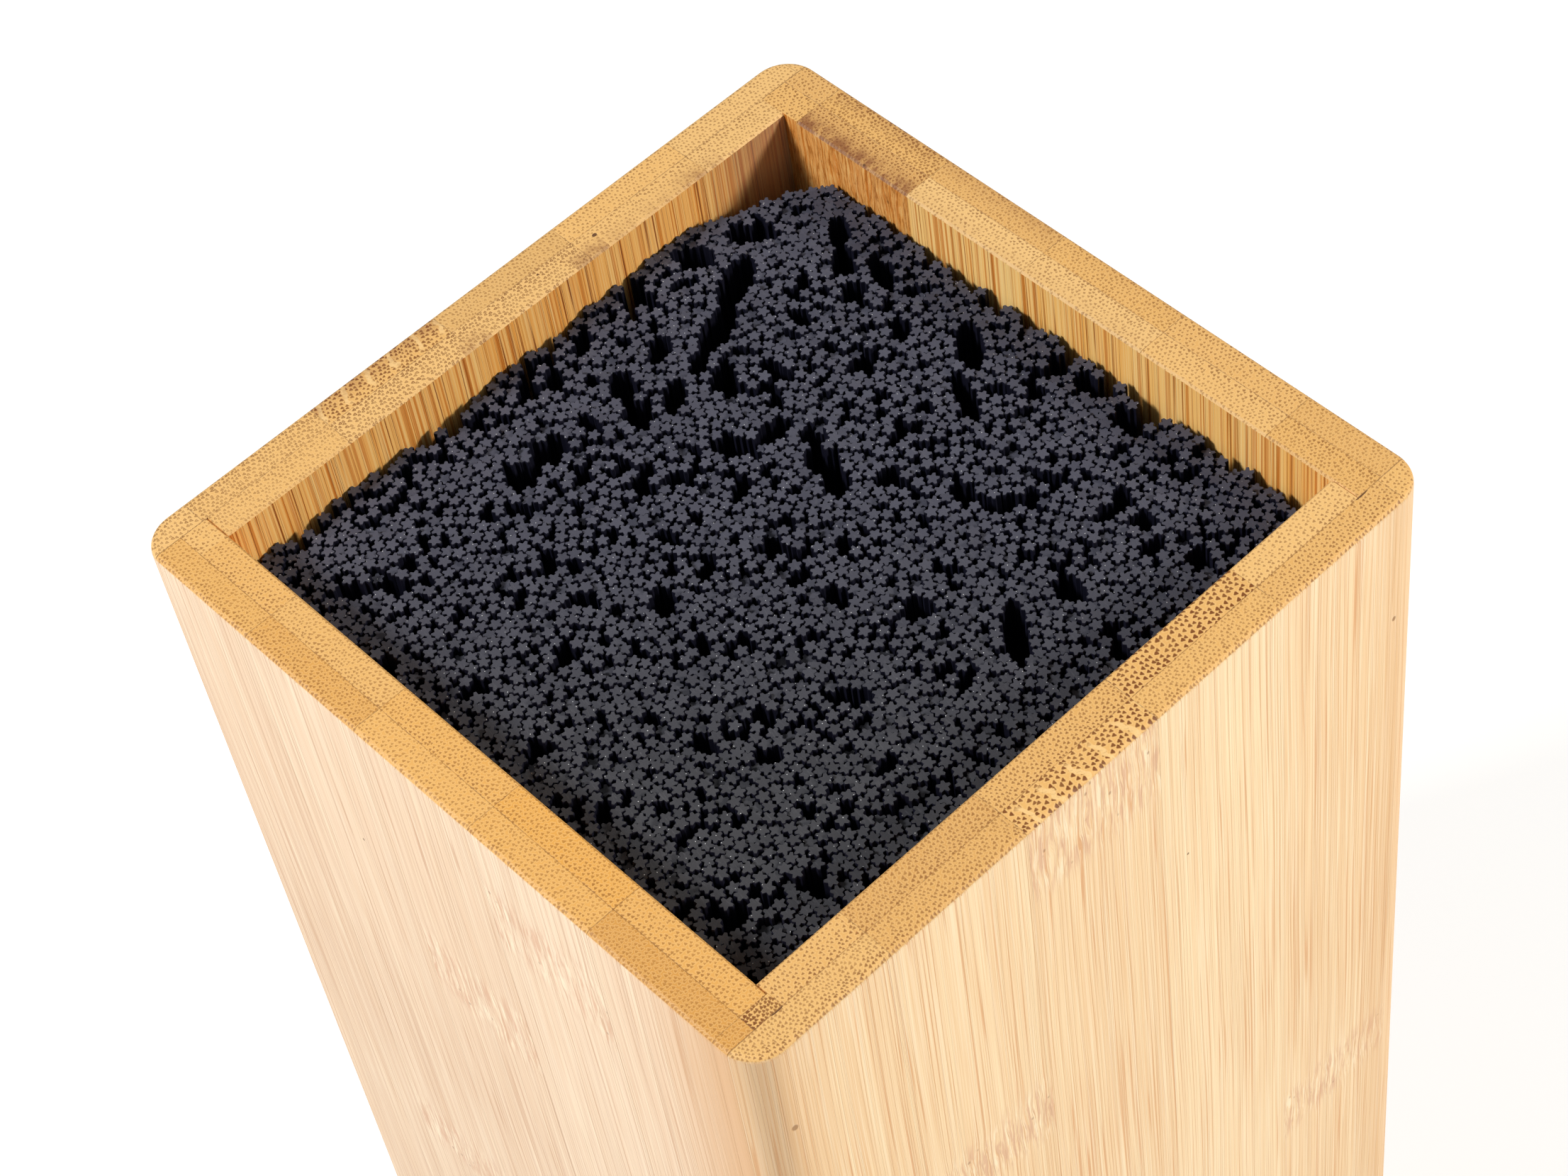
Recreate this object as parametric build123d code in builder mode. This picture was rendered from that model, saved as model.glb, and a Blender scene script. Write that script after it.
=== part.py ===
"""A square bamboo knife block filled with flexible rods.

The block is a box of two-ply bamboo boards, open at the top. Each ply is a row
of upright strips glued edge to edge. Inside stands an insert that lifts out: a
moulded plate with thousands of thin flexible rods fused to it, and a knife
goes in anywhere between them. The rods are given here as they would stand if
none of them bent.

The origin is in the middle of the underside of the feet, with +Z up. The front
of the block faces -Y.
"""
from build123d import *

import os
from math import hypot, sqrt

# The block
block_width = 110.0
overall_height = 225.0
corner_radius = 5.0

# The boards, of two plies each
ply_thickness = 4.15
wall_thickness = 2 * ply_thickness
glue_line = 0.02
least_strip = 2.2

# The edges of the rim and of the bottom, as sanded
outer_edge_radius = 0.8
inner_edge_chamfer = 0.3

# The feet
foot_diameter = 12.0
foot_height = 3.0
foot_edge_radius = 1.0
foot_inset = 15.0

# The insert
insert_clearance = 0.5
plate_thickness = 4.0
plate_corner_radius = 2.0
plate_edge_chamfer = 0.6
rods_below_rim = 6.7

# The rods. A real one is a blunt five-pointed star in section, about 1.9 from
# point to point. Here it is a round rod of the same area.
rod_diameter = 1.52
rod_edge_margin = 0.1
rods_in_long_row = 50
bundles_per_side = 4

# Where the first edge joint between strips lies on each board, and how far
# apart the joints are. Both are measured along the board from its middle.
strip_joints = {
    "front": (-33.1, 20.4),
    "right": (-34.8, 21.1),
    "back": (-44.3, 20.2),
    "left": (-47.4, 20.1),
    "base": (-30.6, 20.4),
}

# What follows from the sizes above
half_width = block_width / 2
ply_line = half_width - ply_thickness
half_opening = half_width - wall_thickness
wall_bottom = foot_height
floor_height = wall_bottom + wall_thickness
past_the_outline = 0.2

os.makedirs("parts", exist_ok=True)


def save(builder, label):
    """Name a finished piece and write it to a file of the same name."""
    builder.part.label = label
    export_step(builder.part, f"parts/{label}.step")


def strip_spans(board, start, end):
    """The stretches that the strips of a board fill, from start to end.

    The strips meet at the board's joints, with a glue line in each. A strip
    that a cut would leave too narrow to glue is left on its neighbour.
    """
    first, pitch = strip_joints[board]
    joints = [first + i * pitch for i in range(6)]
    cuts = [j for j in joints if start + least_strip < j < end - least_strip]
    starts = [start] + [cut + glue_line / 2 for cut in cuts]
    ends = [cut - glue_line / 2 for cut in cuts] + [end]
    return list(zip(starts, ends))


def on_outline(edge):
    """Whether an edge lies on the rounded outside of the block."""
    point = edge @ 0.5
    straight = half_width - corner_radius
    across = max(abs(point.X) - straight, 0)
    along = max(abs(point.Y) - straight, 0)
    return abs(hypot(across, along) - corner_radius) < 0.01


def on_opening(edge):
    """Whether an edge lies on the square opening inside the block."""
    point = edge @ 0.5
    return abs(max(abs(point.X), abs(point.Y)) - half_opening) < 0.01


# ---- The walls: four boards, each of an outer and an inner ply --------------
#
# The outer plies of the left and right boards run the whole depth of the
# block. Both plies of the front and back boards end against them, and the
# inner plies of the left and right boards fill what is left between.


def wall_ply(board, layer):
    """One ply of one wall: upright strips, trimmed to the block's outline."""
    side_board = board in ("left", "right")
    outward = 1 if board in ("right", "back") else -1
    if layer == "outer":
        near = ply_line + glue_line / 2
        far = half_width + past_the_outline
        bottom = wall_bottom
    else:
        near = half_opening
        far = ply_line - glue_line / 2
        bottom = floor_height
    if side_board and layer == "outer":
        reach = half_width + past_the_outline
    elif side_board:
        reach = half_opening - glue_line
    else:
        reach = ply_line - glue_line / 2

    with BuildPart() as ply:
        with BuildSketch(Plane.XY.offset(bottom)):
            for start, end in strip_spans(board, -reach, reach):
                along = (start + end) / 2
                across = outward * (near + far) / 2
                if side_board:
                    with Locations((across, along)):
                        Rectangle(far - near, end - start)
                else:
                    with Locations((along, across)):
                        Rectangle(end - start, far - near)
            RectangleRounded(block_width, block_width, corner_radius, mode=Mode.INTERSECT)
        extrude(amount=overall_height - bottom)

        rim = ply.edges().group_by(Axis.Z)[-1]
        foot = ply.edges().group_by(Axis.Z)[0]
        if layer == "outer":
            sanded = rim.filter_by(on_outline) + foot.filter_by(on_outline)
            fillet(sanded, radius=outer_edge_radius)
        else:
            chamfer(rim.filter_by(on_opening), length=inner_edge_chamfer)
    save(ply, f"{board}_wall_{layer}_ply")


for board in ("front", "back", "left", "right"):
    for layer in ("outer", "inner"):
        wall_ply(board, layer)


# ---- The floor: the same two-ply board, set in a rabbet in the walls --------


def base_ply(layer):
    """One ply of the base panel, between the outer plies of the walls."""
    bottom = wall_bottom if layer == "lower" else wall_bottom + ply_thickness
    half_panel = ply_line - glue_line
    with BuildPart() as ply:
        with BuildSketch(Plane.XY.offset(bottom)):
            for start, end in strip_spans("base", -half_panel, half_panel):
                with Locations(((start + end) / 2, 0)):
                    Rectangle(end - start, 2 * half_panel)
        extrude(amount=ply_thickness - glue_line)
    save(ply, f"base_panel_{layer}_ply")


base_ply("lower")
base_ply("upper")


# ---- The feet: four round rubber pads, stuck under the base -----------------

foot_places = {
    "front_left": (-1, -1),
    "front_right": (1, -1),
    "back_left": (-1, 1),
    "back_right": (1, 1),
}

for corner, (side, depth) in foot_places.items():
    centre = (side * (half_width - foot_inset), depth * (half_width - foot_inset))
    with BuildPart() as rubber_foot:
        with BuildSketch(Plane.XY):
            with Locations(centre):
                Circle(foot_diameter / 2)
        extrude(amount=foot_height)
        fillet(rubber_foot.edges().group_by(Axis.Z)[0], radius=foot_edge_radius)
    save(rubber_foot, f"rubber_foot_{corner}")


# ---- The insert: a moulded plate that carries the rods ----------------------

insert_width = 2 * (half_opening - insert_clearance)
plate_top = floor_height + plate_thickness
rod_tip_height = overall_height - rods_below_rim

with BuildPart() as insert_plate:
    with BuildSketch(Plane.XY.offset(floor_height)):
        RectangleRounded(insert_width, insert_width, plate_corner_radius)
    extrude(amount=plate_thickness)
    chamfer(insert_plate.edges().group_by(Axis.Z)[0], length=plate_edge_chamfer)
save(insert_plate, "insert_plate")


# ---- The rods: fused to the plate, each one a solid of its own --------------
#
# They stand in staggered rows: long rows, and between them rows with one rod
# fewer, half a pitch along. They are written in square bundles, four by four.

first_rod = insert_width / 2 - rod_edge_margin - rod_diameter / 2
rod_pitch = 2 * first_rod / (rods_in_long_row - 1)
half_the_gaps = int(2 * first_rod / (rod_pitch * sqrt(3) / 2)) // 2
row_pitch = first_rod / half_the_gaps

long_rows = GridLocations(
    rod_pitch, 2 * row_pitch, rods_in_long_row, half_the_gaps + 1
)
short_rows = GridLocations(
    rod_pitch, 2 * row_pitch, rods_in_long_row - 1, half_the_gaps
)
rod_places = [place.position for place in [*long_rows, *short_rows]]
bundle_width = insert_width / bundles_per_side


def bundle_of(place):
    """The column and the row of the bundle that a rod belongs to."""
    column = int((place.X + insert_width / 2) / bundle_width)
    row = int((place.Y + insert_width / 2) / bundle_width)
    return column, row


for row in range(bundles_per_side):
    for column in range(bundles_per_side):
        bundle = [place for place in rod_places if bundle_of(place) == (column, row)]
        with BuildPart() as rods:
            with BuildSketch(Plane.XY.offset(plate_top)):
                with Locations(bundle):
                    Circle(rod_diameter / 2)
            extrude(amount=rod_tip_height - plate_top)
        save(rods, f"rods_{'abcd'[row]}{column + 1}")

print(f"{len(rod_places)} rods, {rod_pitch:.3f} apart in rows {row_pitch:.3f} apart")
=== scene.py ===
# %% [markdown]
# # A bamboo knife block full of flexible rods
#
# The block is a square bamboo box, open at the top. Inside it stands an insert:
# a plastic plate with thousands of thin black rods fused to it, so that a knife
# can be pushed in anywhere between them. The boards, the plate and the feet come
# ready made from the CAD frame and only need their finishes. The rods come as
# straight round ones, so this script makes the real star-shaped rods, which lean
# and crowd together.

# %% Load the frame
import math

import bpy
import numpy as np
from mathutils import Matrix, Vector


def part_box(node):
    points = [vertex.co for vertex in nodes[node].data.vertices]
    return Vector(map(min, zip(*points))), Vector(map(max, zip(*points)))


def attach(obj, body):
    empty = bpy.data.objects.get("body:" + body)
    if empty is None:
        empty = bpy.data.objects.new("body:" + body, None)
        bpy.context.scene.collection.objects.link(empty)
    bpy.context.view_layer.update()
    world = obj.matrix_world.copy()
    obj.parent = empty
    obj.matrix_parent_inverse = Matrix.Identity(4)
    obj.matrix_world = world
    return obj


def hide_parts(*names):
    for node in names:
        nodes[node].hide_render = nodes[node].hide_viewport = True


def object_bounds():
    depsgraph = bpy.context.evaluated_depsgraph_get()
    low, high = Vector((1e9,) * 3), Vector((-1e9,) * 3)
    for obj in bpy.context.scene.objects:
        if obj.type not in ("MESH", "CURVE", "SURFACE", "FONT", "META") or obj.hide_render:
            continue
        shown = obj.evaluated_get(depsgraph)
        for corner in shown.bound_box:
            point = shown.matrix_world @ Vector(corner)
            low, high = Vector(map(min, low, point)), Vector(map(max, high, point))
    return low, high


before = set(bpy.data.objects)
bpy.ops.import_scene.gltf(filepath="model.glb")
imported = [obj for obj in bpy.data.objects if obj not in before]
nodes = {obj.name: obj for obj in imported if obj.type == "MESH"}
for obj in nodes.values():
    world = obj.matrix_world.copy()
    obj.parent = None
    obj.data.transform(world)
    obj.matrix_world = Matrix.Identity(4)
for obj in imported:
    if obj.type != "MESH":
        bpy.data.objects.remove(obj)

cad_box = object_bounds()
print("CAD box", [round(v, 4) for corner in cad_box for v in corner])

# %% [markdown]
# ## Sizes that everything else is measured from
#
# Nothing here is typed in twice: the width of the block, the height of its rim
# and the room inside all come from the boxes of the CAD pieces. Patterns in the
# finishes are worked out in millimetres, because bamboo is easier to think about
# that way, so there is one factor between the two.

# %% Read the sizes of the block
MM = 0.001

block_low, block_high = cad_box
block_width = block_high.x - block_low.x
rim_height = block_high.z

ply_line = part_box("front_wall_outer_ply")[1].x / MM
half_width = block_width / 2 / MM
ply_thickness = half_width - ply_line
half_opening = -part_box("left_wall_inner_ply")[1].x / MM
board_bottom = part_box("front_wall_outer_ply")[0].z / MM
rim = rim_height / MM

print(f"block {2 * half_width:.1f} mm wide, rim at {rim:.1f} mm")
print(f"plies {ply_thickness:.2f} mm thick, opening {2 * half_opening:.1f} mm wide")

# %% [markdown]
# ## The camera
#
# The block is seen from above its front right corner, from close by, so that its
# sides run together towards the bottom. The camera's place is given in widths of
# the block from the middle of its rim. It looks along a compass bearing and a
# slope, and is tipped about its own line of sight, which makes the block stand
# a little askew in the frame.

# %% Place the camera
camera_data = bpy.data.cameras.new("camera")
camera_data.sensor_width = 36
camera_data.lens = 83.6
camera_data.clip_start = 0.01
camera_data.clip_end = 20

camera_azimuth = math.radians(54.2)
camera_elevation = math.radians(51.7)
camera_roll = math.radians(-10.0)
camera_place = Vector((2.036, -1.470, 3.038)) * block_width

back = Vector(
    (
        math.sin(camera_azimuth) * math.cos(camera_elevation),
        -math.cos(camera_azimuth) * math.cos(camera_elevation),
        math.sin(camera_elevation),
    )
)
level = (-back).cross(Vector((0, 0, 1))).normalized()
upward = level.cross(-back)
right = math.cos(camera_roll) * level + math.sin(camera_roll) * upward
up = math.cos(camera_roll) * upward - math.sin(camera_roll) * level

camera = bpy.data.objects.new("camera", camera_data)
turned = Matrix((right, up, back)).transposed().to_4x4()
camera.matrix_world = Matrix.Translation(camera_place + Vector((0, 0, rim_height))) @ turned
bpy.context.collection.objects.link(camera)
bpy.context.scene.camera = camera
print("camera", [round(v, 3) for v in camera.matrix_world.translation])

# %% [markdown]
# ## A few words for building finishes
#
# A finish is a node tree, and most of it is sums. `Term` wraps one socket and
# lets it be added, scaled and compared like a number, so `1 - mask` works and
# quietly adds a Math node. `Finish` holds the tree of one material: its `node`
# method makes any other node from its type, its settings and its inputs.


# %% Define Term and Finish
class Term:
    """A socket that takes part in sums: each operation adds one Math node."""

    def __init__(self, finish, socket):
        self.finish = finish
        self.socket = socket

    def sum(self, operation, *others):
        terms = dict(enumerate((self, *others)))
        return self.finish.node("ShaderNodeMath", {"operation": operation}, terms)

    def __add__(self, other):
        return self.sum("ADD", other)

    def __sub__(self, other):
        return self.sum("SUBTRACT", other)

    def __mul__(self, other):
        return self.sum("MULTIPLY", other)

    def __truediv__(self, other):
        return self.sum("DIVIDE", other)

    def __pow__(self, other):
        return self.sum("POWER", other)

    def __gt__(self, other):
        return self.sum("GREATER_THAN", other)

    def __lt__(self, other):
        return self.sum("LESS_THAN", other)

    def __neg__(self):
        return self * -1

    def __rsub__(self, other):
        return -self + other

    __radd__ = __add__
    __rmul__ = __mul__

    def rise(self, start, end):
        """0 below start, 1 above end and a soft S between. A fall has start above end."""
        if start > end:
            return 1 - self.rise(end, start)
        settings = {"interpolation_type": "SMOOTHSTEP"}
        limits = {"Value": self, "From Min": start, "From Max": end}
        return self.finish.node("ShaderNodeMapRange", settings, limits)


class Finish:
    """A material in the making, with one Principled shader at its end."""

    def __init__(self, name):
        self.material = bpy.data.materials.new(name)
        self.material.use_nodes = True
        self.tree = self.material.node_tree
        self.shader = self.tree.nodes["Principled BSDF"]

    def node(self, kind, settings=None, inputs=None, output=0):
        """Any node: its settings first, then its inputs, as values or Terms."""
        made = self.tree.nodes.new(kind)
        for name, value in (settings or {}).items():
            setattr(made, name, value)
        for name, value in (inputs or {}).items():
            if isinstance(value, Term):
                self.tree.links.new(value.socket, made.inputs[name])
            else:
                made.inputs[name].default_value = value
        return Term(self, made.outputs[output])

    def millimetres(self):
        """The three coordinates of the point on the object, in millimetres."""
        place = self.node("ShaderNodeTexCoord", output="Object")
        split = self.node("ShaderNodeSeparateXYZ", inputs={0: place})
        axes = split.socket.node.outputs
        return [Term(self, axis) * (1 / MM) for axis in axes]

    def vector(self, x=0.0, y=0.0, z=0.0):
        return self.node("ShaderNodeCombineXYZ", inputs={"X": x, "Y": y, "Z": z})

    def noise(self, x=0.0, y=0.0, z=0.0, detail=2.0, roughness=0.5):
        """Smooth random hills, from 0 to 1 and mostly near a half."""
        inputs = {
            "Vector": self.vector(x, y, z),
            "Scale": 1.0,
            "Detail": detail,
            "Roughness": roughness,
        }
        return self.node("ShaderNodeTexNoise", inputs=inputs)

    def mix(self, amount, first, second):
        """The first colour where amount is 0 and the second where it is 1."""
        inputs = {0: amount}
        for place, colour in ((6, first), (7, second)):
            inputs[place] = colour if isinstance(colour, Term) else (*colour, 1.0)
        return self.node("ShaderNodeMix", {"data_type": "RGBA"}, inputs, output=2)

    def shade(self, colour, amount):
        """A colour made lighter or darker by a factor that varies over it."""
        inputs = {0: colour, "Scale": amount}
        return self.node("ShaderNodeVectorMath", {"operation": "SCALE"}, inputs)

    def feed(self, **sockets):
        """Link Terms to the shader's sockets, or set them, by name."""
        for name, value in sockets.items():
            socket = self.shader.inputs[name.replace("_", " ")]
            if isinstance(value, Term):
                self.tree.links.new(value.socket, socket)
            else:
                socket.default_value = value

    def bump(self, height, depth_mm):
        """Raise the surface where height is 1 by a depth in millimetres."""
        inputs = {"Height": height, "Distance": depth_mm * MM, "Strength": 1.0}
        self.feed(Normal=self.node("ShaderNodeBump", inputs=inputs))


print("Term and Finish are ready")

# %% [markdown]
# ## What bamboo looks like
#
# A bamboo stalk is sawn lengthwise into strips about 20 mm wide and 4 mm thick,
# which are glued edge to edge into a ply, and two plies make a board. The cut
# end of a strip is pale straw full of small brown dots: each dot is a bundle of
# fibres that runs the whole length of the stalk. Seen from the side, the same
# bundles are fine streaks. Where the stalk had a joint, the streaks break up
# into a rough mottled band, a knuckle.
#
# One finish per ply follows from this. Its pattern is solid: it depends on
# where a point lies along the board, how deep it lies in it and how high, so
# the streaks on a side end at dots on the rim.


# %% Find the place in a board
def board_place(finish, board):
    """How far along a board a point is, how deep in it, and how far up its fibres.

    The depth starts at the outer face. The fibres of the walls run upwards, and
    those of the base run from front to back.
    """
    x, y, z = finish.millimetres()
    places = {
        "front": (x, y + half_width, z),
        "back": (x, half_width - y, z),
        "left": (y, x + half_width, z),
        "right": (y, half_width - x, z),
        "base": (x, z - board_bottom, y),
    }
    return places[board]


strip_joints = {
    "front": (-33.1, 20.4),
    "right": (-34.2, 21.1),
    "back": (-44.3, 20.2),
    "left": (-47.4, 20.1),
    "base": (-30.6, 20.4),
}
print("strips about", strip_joints["front"][1], "mm wide")

# %% [markdown]
# ## What sets one strip apart
#
# No two strips are alike. Some are browner, some are cut through a knuckle and
# show large dark bundles between pale bars, and some are stained. Each ply has a
# list of the stretches that differ from the rest, from one place along the board
# to another, with what is different there:
#
# - brown, orange, grey and pale pull the cut end towards those colours;
# - dark makes the dots darker, big makes them bigger, close packs them closer,
#   and hollow gives them pale middles;
# - bars crosses the dots with pale bars;
# - inner_stain and outer_stain darken the ply towards that face.

# %% List the odd strips
odd_strips = {
    "right_outer": [
        (-55, -34.2, {"close": 0.04, "dark": 0.1, "pale": 0.25}),
        (-34.2, -13.1, {"brown": 0.22}),
        (-13.1, 8.0, {"dark": 0.75, "big": 0.085, "bars": 1.0, "close": -0.15}),
        (8.0, 29.1, {"close": 0.04}),
        (29.1, 50.2, {"brown": 0.12, "dark": 0.2}),
        (50.2, 55, {"dark": 0.1}),
    ],
    "right_inner": [
        (-46.7, -34.2, {"brown": 0.15, "dark": 0.2}),
        (-34.2, -13.1, {"brown": 0.4}),
        (-13.1, 8.0, {"dark": 0.25, "brown": 0.15}),
        (8.0, 29.1, {"dark": 0.75, "big": 0.09, "close": -0.17, "brown": 0.06}),
        (29.1, 46.7, {"pale": 0.25}),
    ],
    "left_outer": [
        (-55, -27.3, {"pale": 0.2, "hollow": 1.0, "dark": 0.2, "big": 0.03}),
        (-27.3, -7.2, {"dark": 0.6, "big": 0.05, "bars": 1.0, "close": -0.05}),
        (-27.3, -7.2, {"outer_stain": 0.7}),
        (-7.2, 12.9, {"grey": 0.3, "dark": -0.1}),
        (33, 55, {"pale": 0.35}),
    ],
    "left_inner": [
        (-46.7, -27.3, {"pale": 0.15, "hollow": 1.0}),
        (-27.3, -7.2, {"dark": 0.35, "big": 0.04, "hollow": 1.0, "pale": 0.3}),
        (-7.2, 12.9, {"dark": 0.3, "big": 0.03, "hollow": 1.0, "pale": 0.35}),
        (12.9, 33.0, {"inner_stain": 0.3, "pale": 0.2, "hollow": 0.6}),
        (33.0, 46.7, {"pale": 0.4}),
        (-8.5, -4.0, {"inner_stain": 0.6}),
        (10.5, 16.0, {"inner_stain": 0.7}),
        (29.0, 36.0, {"inner_stain": 0.5}),
    ],
    "back_outer": [
        (-50.9, -44.3, {"brown": 0.3, "dark": 0.1}),
        (-44.3, -24.1, {"dark": 0.25, "big": 0.03, "outer_stain": 0.5}),
        (-24.1, -3.9, {"brown": 0.2, "outer_stain": 0.4, "dark": -0.1}),
        (-3.9, 16.3, {"outer_stain": 0.15}),
        (16.3, 36.5, {"brown": 0.15, "dark": 0.1}),
        (36.5, 50.9, {"brown": 0.2, "dark": -0.2}),
    ],
    "back_inner": [
        (-50.9, -44.3, {"dark": 0.2}),
        (-44.3, -24.1, {"brown": 0.55, "dark": 0.2, "inner_stain": 1.5}),
        (-24.1, -3.9, {"pale": 0.5, "inner_stain": 0.2}),
        (-3.9, 16.3, {"pale": 0.5, "inner_stain": 0.15}),
        (16.3, 36.5, {"pale": 0.2}),
    ],
    "front_outer": [
        (-50.9, -33.1, {"dark": -0.15, "orange": 0.2}),
        (-33.1, -12.7, {"orange": 0.55, "brown": 0.25, "dark": -0.1}),
        (-12.7, 7.7, {"orange": 0.35, "dark": -0.15}),
        (7.7, 28.1, {"orange": 0.45, "dark": -0.15}),
        (28.1, 50.9, {"orange": 1.0, "brown": 0.5, "dark": -0.35}),
    ],
    "front_inner": [
        (-46.7, -33.1, {"orange": 0.3, "brown": 0.1}),
        (-33.1, -12.7, {"pale": 0.2, "orange": 0.2, "dark": -0.1}),
        (-12.7, 7.7, {"orange": 0.45, "dark": -0.1}),
        (7.7, 28.1, {"orange": 0.8, "dark": -0.15}),
        (28.1, 48.5, {"orange": 0.55, "brown": 0.1, "dark": -0.1}),
        (48.5, 50.9, {"dark": 0.6, "big": 0.05, "close": 0.1}),
    ],
}
all_qualities = sorted(
    {name for listed in odd_strips.values() for _, _, qualities in listed for name in qualities}
)
print(sum(map(len, odd_strips.values())), "odd stretches on", len(odd_strips), "plies")

# %% [markdown]
# The knuckles on the faces are listed in the same way: the strip that each one
# crosses, the height of its middle over the rim, which is below nought, and half
# its own height. A strip of this length usually has one of them.

# %% List the knuckles and the small marks
knuckles = {
    "right_outer": [
        (-55.0, -34.2, -150, 6),
        (-34.2, -13.1, -58.7, 7),
        (-13.1, 8.0, -6, 9),
        (8.0, 29.1, -175, 6),
        (29.1, 50.2, -118, 6),
    ],
    "right_inner": [(8.0, 29.1, -3, 7)],
    "front_outer": [
        (-50.9, -33.1, -165, 6),
        (-33.1, -12.7, -112, 7),
        (-12.7, 7.7, -48.4, 8),
        (7.7, 28.1, -17.6, 8),
        (28.1, 50.9, -140, 6),
    ],
    "back_outer": [
        (-44.3, -24.1, -7, 7),
        (-24.1, -3.9, -70, 6),
        (-3.9, 16.3, -128, 6),
        (16.3, 36.5, -40, 6),
        (36.5, 50.9, -180, 6),
    ],
    "back_inner": [(-50.9, -24.1, -5, 8)],
    "left_outer": [
        (-47.4, -27.3, -92, 6),
        (-27.3, -7.2, -4, 7),
        (-7.2, 12.9, -60, 6),
        (12.9, 33.0, -150, 6),
        (33.0, 53.1, -24, 6),
    ],
}

# Dark marks on the rim: along the board, depth in it, half length, half breadth.
rim_marks = {
    "right_outer": [(47.3, 4.1, 1.0, 0.14), (-47.5, 4.1, 0.9, 0.14)],
    "left_inner": [(15.9, 5.4, 0.35, 0.28), (6.5, 5.0, 0.15, 0.12)],
    "back_inner": [(-32.0, 8.0, 0.2, 0.15)],
}
# Dark spots on the faces: along the board, height over the rim, radius.
face_spots = {
    "right_outer": [(-51.0, -16.0, 0.45), (49.0, -22.0, 0.35), (12.0, -32.0, 0.18)],
    "front_outer": [(-20.0, -30.0, 0.2)],
}
print(sum(map(len, knuckles.values())), "knuckles")

# %% [markdown]
# ## The cut end
#
# The dots come from a Voronoi texture: each cell is one bundle, and the distance
# to the middle of the cell, measured in millimetres, draws the dot. A real
# bundle is not round but lobed like a clover, so the distance is stretched by
# the cosine of three times the angle around the middle. Around the dot lies a
# paler ring.

# %% Choose the colours of the cut end and read the lists
straw_light = (0.76, 0.44, 0.148)
straw_deep = (0.66, 0.35, 0.095)
straw_pale = (0.84, 0.56, 0.245)
straw_tints = {
    "pale": straw_pale,
    "orange": (0.70, 0.33, 0.055),
    "brown": (0.52, 0.26, 0.078),
    "grey": (0.54, 0.34, 0.14),
}
bundle_brown = (0.20, 0.065, 0.012)
stain_brown = (0.20, 0.060, 0.020)
dot_spacing = 0.66
dot_radius = 0.10
row_height = 0.87


def has(ply, quality):
    """Whether any stretch of a ply has a quality."""
    return any(quality in qualities for _, _, qualities in odd_strips.get(ply, []))


def oddness(along, stretches, quality):
    """The sum of a quality over the odd stretches: 0 outside of them."""
    total = 0.0
    for start, end, qualities in stretches:
        if quality in qualities:
            inside = (along > start) * (along < end)
            total = inside * qualities[quality] + total
    return total


print("dots at least", 2 * dot_radius, "mm wide, about", dot_spacing, "mm apart")


# %% Place the dots
def bundles(finish, along, depth, spacing, seed):
    """Dots in staggered rows: how far a point is from the middle of its dot, lobed.

    The texture has square rows, so its axes are sheared by half a dot per row and
    squeezed by the height of an even triangle. Undone for the way from the
    middle of the cell, this gives true millimetres across and down. The lobed
    distance is their length times 1 plus a share of the cosine of three times
    their angle.
    """
    row = depth / (spacing * row_height) + seed
    spot = finish.vector(along / spacing + row * 0.5, row)
    inputs = {"Vector": spot, "Scale": 1.0, "Randomness": 0.5}
    settings = {"voronoi_dimensions": "2D"}
    cell = finish.node("ShaderNodeTexVoronoi", settings, inputs).socket.node.outputs
    middle = Term(finish, cell["Position"])
    away = finish.node("ShaderNodeVectorMath", {"operation": "SUBTRACT"}, {0: spot, 1: middle})
    split = finish.node("ShaderNodeSeparateXYZ", inputs={0: away}).socket.node.outputs
    down = Term(finish, split["Y"])
    across = (Term(finish, split["X"]) - down * 0.5) * spacing
    down = down * row_height * spacing
    lobes = (down.sum("ARCTAN2", across) * 3).sum("COSINE")
    lobed = (across * across + down * down).sum("SQRT") * (1 + lobes * 0.2)
    chance = finish.node("ShaderNodeSeparateXYZ", inputs={0: Term(finish, cell["Color"])})
    return lobed, chance


print("rows of dots", round(dot_spacing * row_height, 2), "mm apart")

# %% [markdown]
# On some strips pale bars cross the cut end. They are a mask, 1 in the middle of a
# bar. Stains start at one face of the ply and run out raggedly, and are mixed over
# the colour.

# %% Draw the bars and the stains
bar_pitch = 3.9


def pale_bars(finish, along, depth, odd):
    """Bars across the strip: near the middle of each pitch, swayed by a noise."""
    sway = finish.noise(along * 0.3, depth * 0.6, 9.0, detail=1) * 0.5
    wave = along / bar_pitch + depth * 0.06 + sway
    bar = (wave.sum("FRACT") - 0.5).sum("ABSOLUTE").rise(0.11, 0.06)
    return bar * odd["bars"] * depth.rise(4.2, 2.6)


def stained(finish, colour, place_in_ply, ply, odd):
    """A colour with the ply's stains: place_in_ply is along, depth, depth in the ply."""
    along, depth, in_ply = place_in_ply
    inward = in_ply / ply_thickness
    smudge = finish.noise(along * 0.9, depth * 0.35, 2.0, detail=4, roughness=0.65)
    for quality, edge in (("inner_stain", inward), ("outer_stain", 1 - inward)):
        if has(ply, quality):
            stain = edge.rise(0.15, 0.95) * (0.3 + smudge.rise(0.34, 0.62)) * odd[quality]
            colour = finish.mix((stain * 0.5).sum("MINIMUM", 0.8), colour, stain_brown)
    return colour


print("bars", bar_pitch, "mm apart")

# %% [markdown]
# The cut end is built up in layers. The straw comes first, tinted strip by strip,
# then the pale rings, then the dots with their own strengths, and last the stains.
# The dots near the outer side of the ply are a little larger and darker.


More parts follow.
